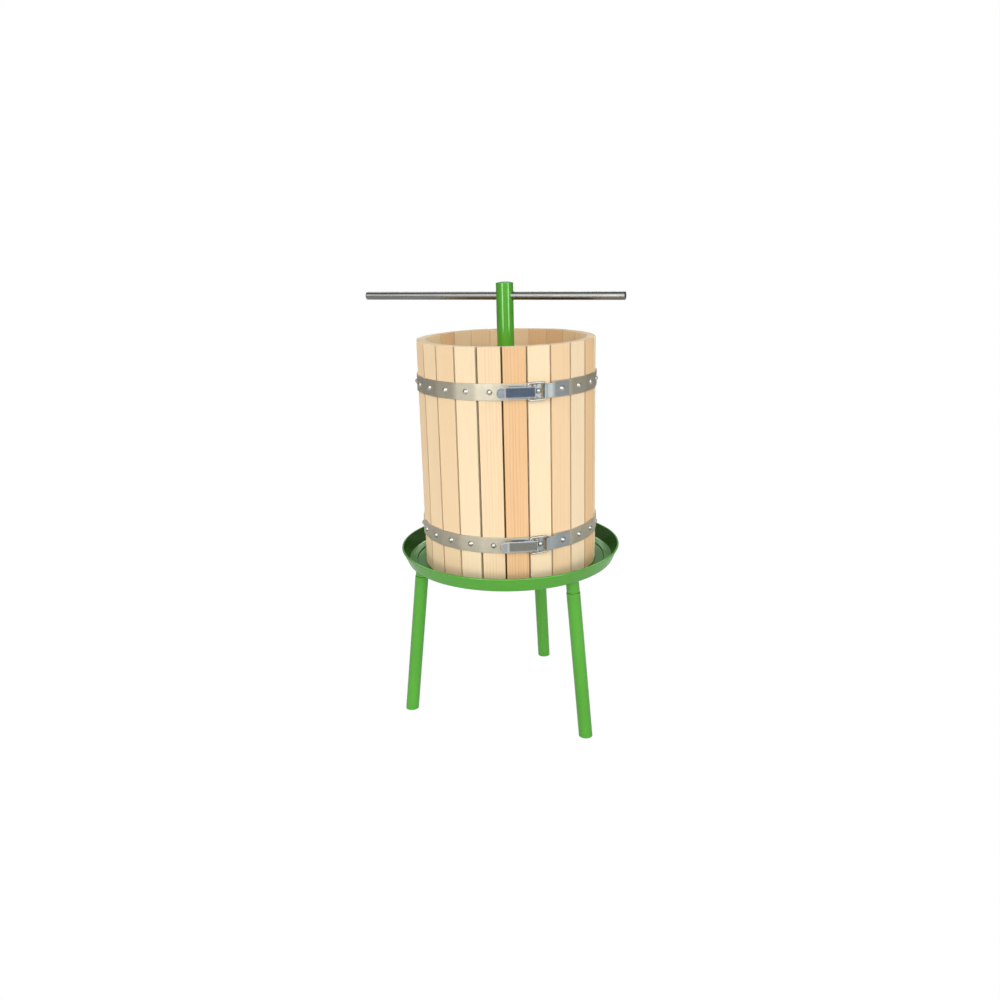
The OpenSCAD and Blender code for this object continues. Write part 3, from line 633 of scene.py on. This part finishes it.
# %% Levers
TIP_CORNER, HIGHLIGHT_BAND, LEVER_END = 7.5 * MM, 2.2 * MM, 1 * MM
LEVER_EASE, CHEEK_EASE = 0.65 * MM, 0.25 * MM
for name, height in HOOPS.items():
    carry = (Matrix.Translation((0, 0, height)) @ at_stave(BASE_STAVE)
             @ Matrix.Translation((pivot.x, -pivot.y, 0)) @ Matrix.Rotation(-PITCH, 4, "Z"))
    outer = -lever_in - LATCH_T
    foot = -(LEVER_LEN - LEVER_TIP)
    path, widths = [], []
    for share in (0.0, 0.03, 0.1, 0.22, 0.4, 0.65, 1.0):
        run = TIP_CORNER * share
        back = LEVER_TIP - run
        path.append((foot - back * math.cos(TIP_TILT), outer - back * math.sin(TIP_TILT)))
        widths.append(LEVER_W - 2 * (TIP_CORNER - math.sqrt(TIP_CORNER**2 - (TIP_CORNER - run) ** 2)))
    path += [(foot, outer), (-LEVER_END, outer)]
    widths += [LEVER_W] * 2
    bm = ribbon(path, widths, LATCH_T)
    # cuts at the edge of the painted highlight band
    for point, normal in (((0, 0, LEVER_W / 2 - HIGHLIGHT_BAND), (0, 0, 1)), ((0, 0, HIGHLIGHT_BAND - LEVER_W / 2), (0, 0, 1)),
                          ((foot - HIGHLIGHT_BAND, 0, 0), (1, 0, 0)), ((foot + HIGHLIGHT_BAND, 0, 0), (1, 0, 0))):
        bmesh.ops.bisect_plane(bm, geom=[*bm.verts, *bm.edges, *bm.faces], plane_co=point, plane_no=normal, dist=1e-7)
    soften(bm, LEVER_EASE, 3)
    fade, pad_r = 2.2 * BAIL_ARM, WIRE_D / 2 + 0.8 * LATCH_T
    under = -lever_in - LATCH_T * 0.6
    outline = [(-fade, under), (-fade, -lever_in)]
    outline += arc((lever_bail.x, -lever_bail.y), pad_r, 130, 75, 4)
    outline += arc((0, 0), CHEEK_R, 95, 0, 8) + [(CHEEK_R / 2, under)]
    for side in (-1, 1):
        middle = side * (LEVER_W - LATCH_T) / 2
        cheek = prism(outline, middle - LATCH_T / 2, middle + LATCH_T / 2)
        soften(cheek, CHEEK_EASE)
        join(bm, cheek)
    bm.transform(carry)
    obj = piece(name + "_lever_sheet", bm, blue_zinc if name == "upper" else grey_zinc, name + "_lever",
                "blue_zinc", name + "_latch_lever")
    # painted highlight: pale along both long edges and across the bend, half pale on the tilted tip
    back = carry.inverted()
    layer = obj.data.attributes.new("painted_highlight", "FLOAT", "POINT")
    for vert, entry in zip(obj.data.vertices, layer.data):
        here = back @ vert.co
        rim = 1 - (LEVER_W / 2 - abs(here.z)) / HIGHLIGHT_BAND
        bend = 1 - abs(here.x - foot) / HIGHLIGHT_BAND
        entry.value = min(1.0, max(rim, bend, 0.5 if here.x < foot else 0.0))
    print(obj.name, [round(x / MM, 1) for x in obj.dimensions])
dress(wire_steel, *(f"{h}_latch_{p}" for h in HOOPS for p in ("bail", "pin")))

# %% [markdown]
# ## Tray
# The tray is pressed from one sheet: a recess for the basket, a ledge, a leaning wall and a rim that is
# rolled over a wire. Half its section is spun round the axis. A pressed sheet has no sharp corner, so
# each corner of the section is an arc. The window for the spout is cut before Solidify adds the sheet's
# thickness, because a single skin is easy to cut.

# %% Tray section
TRAY_Z, TRAY_T = 264 * MM, 2 * MM
RECESS_R, LEDGE_H, WALL_FOOT_R = 156 * MM, 2.4 * MM, 169 * MM
RIM_R, RIM_H, RIM_D = 181 * MM, 25 * MM, 3.2 * MM
LEDGE_BEND, WALL_BEND, KEEP_INSIDE = 1.1 * MM, 4.0 * MM, 0.01 * MM
SPINDLE_R, SPOUT_W, SPOUT_ROOT, SPOUT_H = 10 * MM, 40 * MM, 150 * MM, 16 * MM
ROUND = 160


def spun(line, steps=ROUND):
    """A line of (radius, height) points turned once round the axis."""
    bm = bmesh.new()
    verts = [bm.verts.new((p[0], 0, p[1])) for p in line]
    edges = [bm.edges.new(pair) for pair in zip(verts, verts[1:])]
    bmesh.ops.spin(bm, geom=verts + edges, axis=(0, 0, 1), cent=(0, 0, 0), dvec=(0, 0, 0),
                   angle=math.tau, steps=steps, use_merge=True)
    bmesh.ops.remove_doubles(bm, verts=bm.verts, dist=1e-7)
    return bm


rim_mid = (RIM_R - RIM_D / 2 - KEEP_INSIDE, TRAY_Z + RIM_H - RIM_D / 2)
section = rounded(
    [(SPINDLE_R, TRAY_Z), (RECESS_R, TRAY_Z), (RECESS_R, TRAY_Z + LEDGE_H), (WALL_FOOT_R, TRAY_Z + LEDGE_H),
     (rim_mid[0] - TRAY_T / 2, rim_mid[1])], [LEDGE_BEND, LEDGE_BEND, WALL_BEND])
print("tray section has", len(section), "points")

# %% Press the tray and cut the spout's window
bm = spun(section)
BACK_Y = 130 * MM
window = {"left": ((-SPOUT_W / 2, 0, 0), (1, 0, 0)), "right": ((SPOUT_W / 2, 0, 0), (1, 0, 0)),
          "root": ((0, SPOUT_ROOT, 0), (0, 1, 0)), "top": ((0, 0, TRAY_Z - TRAY_T + SPOUT_H), (0, 0, 1))}
for point, normal in window.values():
    near = [f for f in bm.faces for c in [f.calc_center_median()] if c.y > BACK_Y and abs(c.x) < SPOUT_W]
    parts = {p for f in near for p in [f, *f.edges, *f.verts]}
    bmesh.ops.bisect_plane(bm, geom=list(parts), plane_co=point, plane_no=normal, dist=1e-7)
gone = [f for f in bm.faces for c in [f.calc_center_median()]
        if abs(c.x) < SPOUT_W / 2 and c.y > SPOUT_ROOT and c.z < TRAY_Z - TRAY_T + SPOUT_H]
bmesh.ops.delete(bm, geom=gone, context="FACES")
bmesh.ops.recalc_face_normals(bm, faces=bm.faces)
if sum(f.normal.z for f in bm.faces) < 0:
    bmesh.ops.reverse_faces(bm, faces=bm.faces)
bmesh.ops.solidify(bm, geom=list(bm.faces), thickness=TRAY_T)
ring = [(rim_mid[0] + RIM_D / 2 * math.cos(a), rim_mid[1] + RIM_D / 2 * math.sin(a))
        for a in (math.tau * k / 20 for k in range(21))]
join(bm, spun(ring))
tray = piece("pressed_tray", bm, tray_paint, "frame", "green_paint", "tray")
print("tray", [round(x / MM, 1) for x in tray.dimensions], "from z", round(tray.bound_box[0][2] / MM, 2))

# %% [markdown]
# ## Spout
# The spout is a short trough of the same sheet. A U-shaped section is drawn out along its length, the
# sides are cut on a slant at the lip, and Solidify gives the sheet its thickness.

# %% Spout
SPOUT_BEND, SPOUT_EASE = 3 * MM, 0.4 * MM
spout_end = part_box("spout")[1].y - 2 * KEEP_INSIDE
half = SPOUT_W / 2 - TRAY_T
sides = rounded([(-half, TRAY_Z - TRAY_T + SPOUT_H), (-half, TRAY_Z), (half, TRAY_Z),
                 (half, TRAY_Z - TRAY_T + SPOUT_H)], [SPOUT_BEND, SPOUT_BEND])
bm = bmesh.new()
line = [bm.verts.new((x, SPOUT_ROOT, z)) for x, z in sides]
edges = [bm.edges.new(pair) for pair in zip(line, line[1:])]
made = bmesh.ops.extrude_edge_only(bm, edges=edges)["geom"]
bmesh.ops.translate(bm, verts=[v for v in made if isinstance(v, bmesh.types.BMVert)],
                    vec=(0, spout_end - SPOUT_ROOT, 0))
bmesh.ops.bisect_plane(bm, geom=[*bm.verts, *bm.edges, *bm.faces], plane_co=(0, spout_end, TRAY_Z),
                       plane_no=(0, 1, 1), clear_outer=True, dist=1e-7)
bmesh.ops.recalc_face_normals(bm, faces=bm.faces)
if sum(f.normal.z for f in bm.faces) < 0:
    bmesh.ops.reverse_faces(bm, faces=bm.faces)
bmesh.ops.solidify(bm, geom=list(bm.faces), thickness=TRAY_T)
soften(bm, SPOUT_EASE)
spout = piece("trough_spout", bm, green_paint, "frame", "green_paint", "spout")
print("spout", [round(x / MM, 1) for x in spout.dimensions])

# %% [markdown]
# ## Stand, column and bar
# The legs, their sockets, the brace and the column are plain tubes and plates that the solids already
# show, so they only get their finish. The T-bar is drawn steel with a small bevel at each end.

# %% Finishes for the solids that stay
dress(green_paint, "tray_brace", "thrust_plate", "column_nut", "column_tube", "column_cap",
      *(f"{leg}_leg{part}" for leg in ("front", "rear", "left") for part in ("", "_socket")))
dress(bar_steel, "tommy_bar")
dress(wire_steel, "spindle_nuts", "spindle_washers", "press_batten_screws")
print("dressed the stand, the column and the bar")

# %% [markdown]
# ## Spindle
# The solid spindle is a plain rod at the outside of its thread. The thread itself is one tooth of its
# section, spun round and lifted by the lead on each turn, so that each turn meets the next.

# %% Cut the thread
LEAD, THREAD_DEPTH, THREAD_STEPS = 4 * MM, 1.6 * MM, 20
FOOT_BEVEL, TOP_BEVEL, PLAIN_END = 1 * MM, 1.5 * MM, 6 * MM
foot, top = (corner.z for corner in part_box("spindle"))
turns = int((top - foot - 2 * FOOT_BEVEL) / LEAD) - 1
crest, root = SPINDLE_R, SPINDLE_R - THREAD_DEPTH
bm = bmesh.new()
tooth = [(root, 0.0), (root, 0.3), (crest, 0.45), (crest, 0.85), (root, 1.0)]
line = [bm.verts.new((r, 0, foot + FOOT_BEVEL + share * LEAD)) for r, share in tooth]
edges = [bm.edges.new(pair) for pair in zip(line, line[1:])]
bmesh.ops.spin(bm, geom=line + edges, axis=(0, 0, 1), cent=(0, 0, 0), dvec=(0, 0, LEAD / THREAD_STEPS),
               angle=math.tau * turns, steps=THREAD_STEPS * turns, use_merge=False)
bmesh.ops.remove_doubles(bm, verts=bm.verts, dist=1e-6)
bmesh.ops.holes_fill(bm, edges=[e for e in bm.edges if e.is_boundary], sides=0)
for end, inwards, bevel in ((foot, 1, FOOT_BEVEL), (top, -1, TOP_BEVEL)):
    plain = [(0, 0), (root - bevel, 0), (root, bevel), (root, PLAIN_END), (0, PLAIN_END)][::inwards]
    join(bm, spun([(r, end + inwards * z) for r, z in plain], 40))
spindle = piece("threaded_spindle", bm, wire_steel, "frame", "bright_steel", "spindle")
print("spindle has", turns, "turns and", len(spindle.data.polygons), "faces")

# %% [markdown]
# ## Press board
# The board is a round plank sawn in two, so that it can be lifted off round the spindle, with two
# battens screwed across. Half a ring is spun from a rectangle with rounded corners.

# %% Boards and battens
BOARD_R, BOARD_HOLE_R, BOARD_GAP, BOARD_EASE = 123 * MM, 20 * MM, 1 * MM, 1.2 * MM
board_low, board_high = (corner.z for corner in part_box("press_board_left"))
seam = (BOARD_HOLE_R, (board_low + board_high) / 2)
for side, name in ((-1, "left"), (1, "right")):
    ring = rounded([seam, (BOARD_HOLE_R, board_high), (BOARD_R, board_high), (BOARD_R, board_low),
                    (BOARD_HOLE_R, board_low), seam], [BOARD_EASE] * 4, 2)
    bm = spun(ring, 96)
    bmesh.ops.bisect_plane(bm, geom=[*bm.verts, *bm.edges, *bm.faces], plane_co=(side * BOARD_GAP / 2, 0, 0),
                           plane_no=(-side, 0, 0), clear_outer=True, dist=1e-7)
    bmesh.ops.holes_fill(bm, edges=[edge for edge in bm.edges if edge.is_boundary], sides=0)
    half_board = piece(f"half_board_{name}", bm, board_wood, "press_head", "board_wood", f"press_board_{name}")
    set_grain(half_board, (0, side * 90 * MM, 250 * MM), 0.35 + 0.2 * side, 4.2 * MM, 0.4)
    print(half_board.name, [round(x / MM, 1) for x in half_board.dimensions])
for end, pith_y in (("front", -30 * MM), ("rear", 110 * MM)):
    batten = nodes[f"press_batten_{end}"]
    dress(board_wood, batten.name)
    set_grain(batten, (0, pith_y, 420 * MM), 0.3, 3.6 * MM, 0.45)
    print("grain for", batten.name)

# %% [markdown]
# ## Floor and light
# The press stands on a plain white floor in front of nothing at all. To the camera the floor is nine
# tenths glow and one tenth lit paper, which keeps it white and keeps the shadow. The light comes from a
# wide bright panel in front, from the horizon to halfway up. The sides and the ceiling are dark, because
# dark sides draw the edges of the tubes and a dark ceiling draws the line along the top of the T-bar. Two
# small soft boxes in front, left and right, put the two bright lines on the column. A broad box high
# behind lights the back and the floor of the tray. It hangs too high for the tray's walls to mirror it.

# %% Floor
FLOOR_R, PAPER_GREY = 3.0, 0.55
LIT_TO_CAMERA, LIT_IN_MIRRORS, GLOW = 0.9, 0.2, 1.07
floor_mesh = bpy.data.meshes.new("floor")
bm = bmesh.new()
bmesh.ops.create_circle(bm, cap_ends=True, radius=FLOOR_R, segments=96)
bm.to_mesh(floor_mesh)
bm.free()
floor = bpy.data.objects.new("floor", floor_mesh)
bpy.context.scene.collection.objects.link(floor)
paper = new_finish("white_paper")
rays = paper.node("ShaderNodeLightPath", {}, {}).outputs
bright = (paper.value(rays["Is Camera Ray"]) * LIT_TO_CAMERA
          + paper.value(rays["Is Glossy Ray"]) * LIT_IN_MIRRORS)
matt = paper.node("ShaderNodeBsdfDiffuse", {}, {"Color": (PAPER_GREY,) * 3})
glow = paper.node("ShaderNodeEmission", {}, {"Color": (1, 1, 1), "Strength": GLOW})
whole = paper.node("ShaderNodeMixShader", {}, {0: bright, 1: matt.outputs[0], 2: glow.outputs[0]})
paper.node("ShaderNodeOutputMaterial", {}, {"Surface": whole.outputs[0]})
floor_mesh.materials.append(paper.owner)
print("floor", 2 * FLOOR_R, "m across")

# %% World
world = bpy.data.worlds.new("studio")
bpy.context.scene.world = world
sky = Finish(world)
way = sky.node("ShaderNodeSeparateXYZ", {}, {0: sky.node("ShaderNodeTexCoord", {}, {}).outputs["Generated"]})
depth, height = sky.value(way.outputs[1]), sky.value(way.outputs[2])
FRONT, FAR_GROUND, SIDE, BEHIND, HIGH_BOX, CEILING = 2.55, 0.3, 0.15, 0.35, 3.6, 0.2
front = sky.between(0 - depth, 0.3, 0.75)
above_floor = sky.between(height, -0.05, 0.15)
backdrop = sky.between(depth, 0.65, 0.95) * above_floor
high_box = sky.between(depth, 0.4, 0.7) * (sky.between(height, 0.46, 0.58) - sky.between(height, 0.78, 0.9))
panel = FAR_GROUND + above_floor * (FRONT - FAR_GROUND)
walls = SIDE + front * (panel - SIDE) + backdrop * (BEHIND - SIDE)
overhead = sky.between(height, 0.62, 0.84)
level = walls * (1 - overhead) + overhead * CEILING + high_box * HIGH_BOX
camera_ray = sky.value(sky.node("ShaderNodeLightPath", {}, {}).outputs["Is Camera Ray"])
strength = camera_ray + (1 - camera_ray) * level
back = sky.node("ShaderNodeBackground", {}, {"Color": (1, 1, 1), "Strength": strength})
sky.node("ShaderNodeOutputWorld", {}, {"Surface": back.outputs[0]})
print("studio", {"front": FRONT, "side": SIDE, "high box": HIGH_BOX, "ceiling": CEILING})

# %% Lamps
def soft_box(name, place, aim, size, watts):
    lamp = bpy.data.lights.new(name, "AREA")
    lamp.shape, lamp.size, lamp.size_y, lamp.energy = "RECTANGLE", size[0], size[1], watts
    obj = bpy.data.objects.new(name, lamp)
    obj.location = place
    obj.rotation_euler = (Vector(aim) - Vector(place)).to_track_quat("-Z", "Y").to_euler()
    bpy.context.scene.collection.objects.link(obj)
    print(name, watts, "W")


MIDDLE = (0, 0, 0.42)
soft_box("left_box", (-1.05, -1.69, 0.5), MIDDLE, (0.5, 0.45), 3.4)
soft_box("right_box", (1.53, -1.33, 0.5), MIDDLE, (0.45, 0.45), 3.4)

# %% [markdown]
# ## Camera
# The camera stands where the photograph was taken: a little above the rim, looking down at the press
# from the front, and turned by a small roll. Its axes are built from these angles.

# %% Camera
CAMERA_PLACE = (0, -1.4754, 0.7826)
PIXELS, FOCAL_PIXELS, SENSOR = 1000, 924.6, 36.0
PITCH_DOWN, ROLL, YAW = math.radians(15.95), math.radians(-1.45), math.radians(-0.6)
ahead = Vector((math.sin(YAW) * math.cos(PITCH_DOWN), math.cos(YAW) * math.cos(PITCH_DOWN), -math.sin(PITCH_DOWN)))
right = Vector((math.cos(YAW), -math.sin(YAW), 0))
up = right.cross(ahead)
side = math.cos(ROLL) * right + math.sin(ROLL) * up
top = math.cos(ROLL) * up - math.sin(ROLL) * right
camera = bpy.data.objects.new("camera", bpy.data.cameras.new("camera"))
camera.data.sensor_width = SENSOR
camera.data.lens = FOCAL_PIXELS * SENSOR / PIXELS
camera.data.clip_start = 0.05
turned = Matrix((side, top, -ahead)).transposed().to_4x4()
camera.matrix_world = Matrix.Translation(CAMERA_PLACE) @ turned
bpy.context.scene.collection.objects.link(camera)
bpy.context.scene.camera = camera
bpy.context.scene.view_settings.view_transform = "Standard"
print("lens", round(camera.data.lens, 2), "mm")
